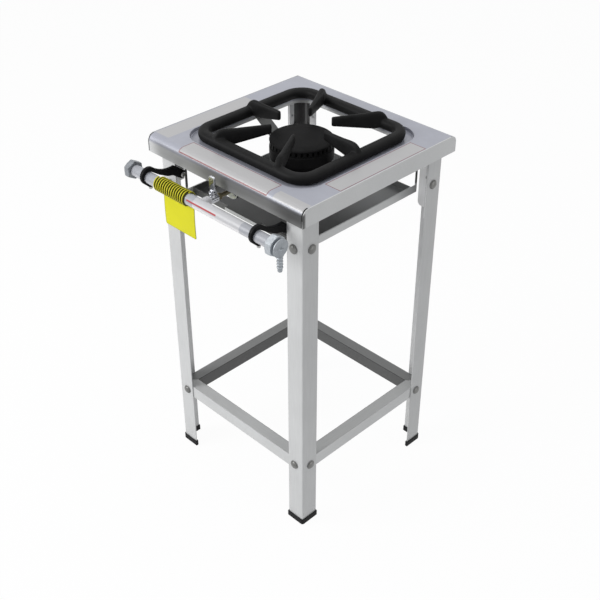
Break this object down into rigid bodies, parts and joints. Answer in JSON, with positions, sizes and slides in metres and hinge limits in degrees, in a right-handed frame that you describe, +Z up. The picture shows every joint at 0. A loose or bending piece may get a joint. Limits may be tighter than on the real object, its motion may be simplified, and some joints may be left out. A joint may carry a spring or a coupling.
{
  "type": "propane burner stand",
  "caption": "Single gas burner with cast-iron grate in a folded steel top on tall angle legs, with drip tray, lower rails, and a front gas pipe with valve and hose tail.",
  "frame": {"origin": "on the floor, under the centre of the whole bounding box", "axes": "+Z up along the legs, -Y towards the gas pipe and valve, +X towards the hose tail"},
  "size_m": [0.4028, 0.4636, 0.7682],
  "materials": {
    "top_steel": "brushed sheet with a cool grey sheen",
    "leg_steel": "brushed sheet, grain along the piece",
    "tray_steel": "dull sheet, darker inside",
    "bolt_steel": "plated",
    "cast_iron": "matt black, slightly rough",
    "rubber": "matt",
    "pipe_paint": "smooth pale coating",
    "zinc_plate": "dull plated steel",
    "chrome": "polished plating",
    "brass": "machined",
    "black_paint": "satin black",
    "yellow_plastic": "yellow and black",
    "yellow_card": "plain yellow"
  },
  "bodies": {
    "stand": {"top_sheet": "top_steel", "leg_front_left": "leg_steel", "foot_front_left": "rubber", "corner_bracket_front_left": "leg_steel", "bolt_upper_front_left_x": "bolt_steel", "bolt_upper_front_left_y": "bolt_steel", "bolt_lower_front_left_x": "bolt_steel", "bolt_lower_front_left_y": "bolt_steel", "leg_front_right": "leg_steel", "foot_front_right": "rubber", "corner_bracket_front_right": "leg_steel", "bolt_upper_front_right_x": "bolt_steel", "bolt_upper_front_right_y": "bolt_steel", "bolt_lower_front_right_x": "bolt_steel", "bolt_lower_front_right_y": "bolt_steel", "leg_back_left": "leg_steel", "foot_back_left": "rubber", "corner_bracket_back_left": "leg_steel", "bolt_upper_back_left_x": "bolt_steel", "bolt_upper_back_left_y": "bolt_steel", "bolt_lower_back_left_x": "bolt_steel", "bolt_lower_back_left_y": "bolt_steel", "leg_back_right": "leg_steel", "foot_back_right": "rubber", "corner_bracket_back_right": "leg_steel", "bolt_upper_back_right_x": "bolt_steel", "bolt_upper_back_right_y": "bolt_steel", "bolt_lower_back_right_x": "bolt_steel", "bolt_lower_back_right_y": "bolt_steel", "lower_rail_front": "leg_steel", "lower_rail_back": "leg_steel", "lower_rail_left": "leg_steel", "lower_rail_right": "leg_steel", "tray_runner_left": "leg_steel", "pipe_hook_left": "black_paint", "pipe_hook_screw_left": "bolt_steel", "pipe_hook_bolt_left": "bolt_steel", "tray_runner_right": "leg_steel", "pipe_hook_right": "black_paint", "pipe_hook_screw_right": "bolt_steel", "pipe_hook_bolt_right": "bolt_steel", "burner_body": "cast_iron", "burner_strap": "leg_steel", "burner_bolt": "bolt_steel", "mixing_tube": "cast_iron", "injector": "brass", "valve_body": "chrome", "valve_bonnet_nut": "chrome", "gas_pipe": "pipe_paint", "hex_plug": "zinc_plate", "union_nut": "zinc_plate", "hose_elbow": "zinc_plate", "wound_sleeve": "yellow_plastic"},
    "drip_tray": {"drip_tray": "tray_steel"},
    "pot_grate": {"pot_grate": "cast_iron"},
    "burner_cap": {"burner_cap": "cast_iron"},
    "air_shutter": {"air_shutter": "zinc_plate"},
    "valve_handle": {"valve_handle": "chrome"},
    "hanging_tag": {"hanging_tag": "yellow_card"}
  },
  "joints": [
    {"name": "drip_tray_slide", "type": "slide", "parent": "stand", "child": "drip_tray", "axis": [0, -1, 0], "range_m": [0, 0.09]},
    {"name": "pot_grate_lift", "type": "slide", "parent": "stand", "child": "pot_grate", "axis": [0, 0, 1], "range_m": [0, 0.06]},
    {"name": "burner_cap_lift", "type": "slide", "parent": "stand", "child": "burner_cap", "axis": [0, 0, 1], "range_m": [0, 0.012]},
    {"name": "air_shutter_turn", "type": "hinge", "parent": "stand", "child": "air_shutter", "pos_m": [-0.00144, -0.13949, 0.6915], "axis": [0, 1, 0], "range_deg": [0, 90]},
    {"name": "valve_handle_turn", "type": "hinge", "parent": "stand", "child": "valve_handle", "pos_m": [-0.00144, -0.18239, 0.6915], "axis": [0, 0, 1], "range_deg": [0, 90]},
    {"name": "tag_swing", "type": "hinge", "parent": "stand", "child": "hanging_tag", "pos_m": [-0.06344, -0.21219, 0.6915], "axis": [1, 0, 0], "range_deg": [-60, 25]}
  ]
}
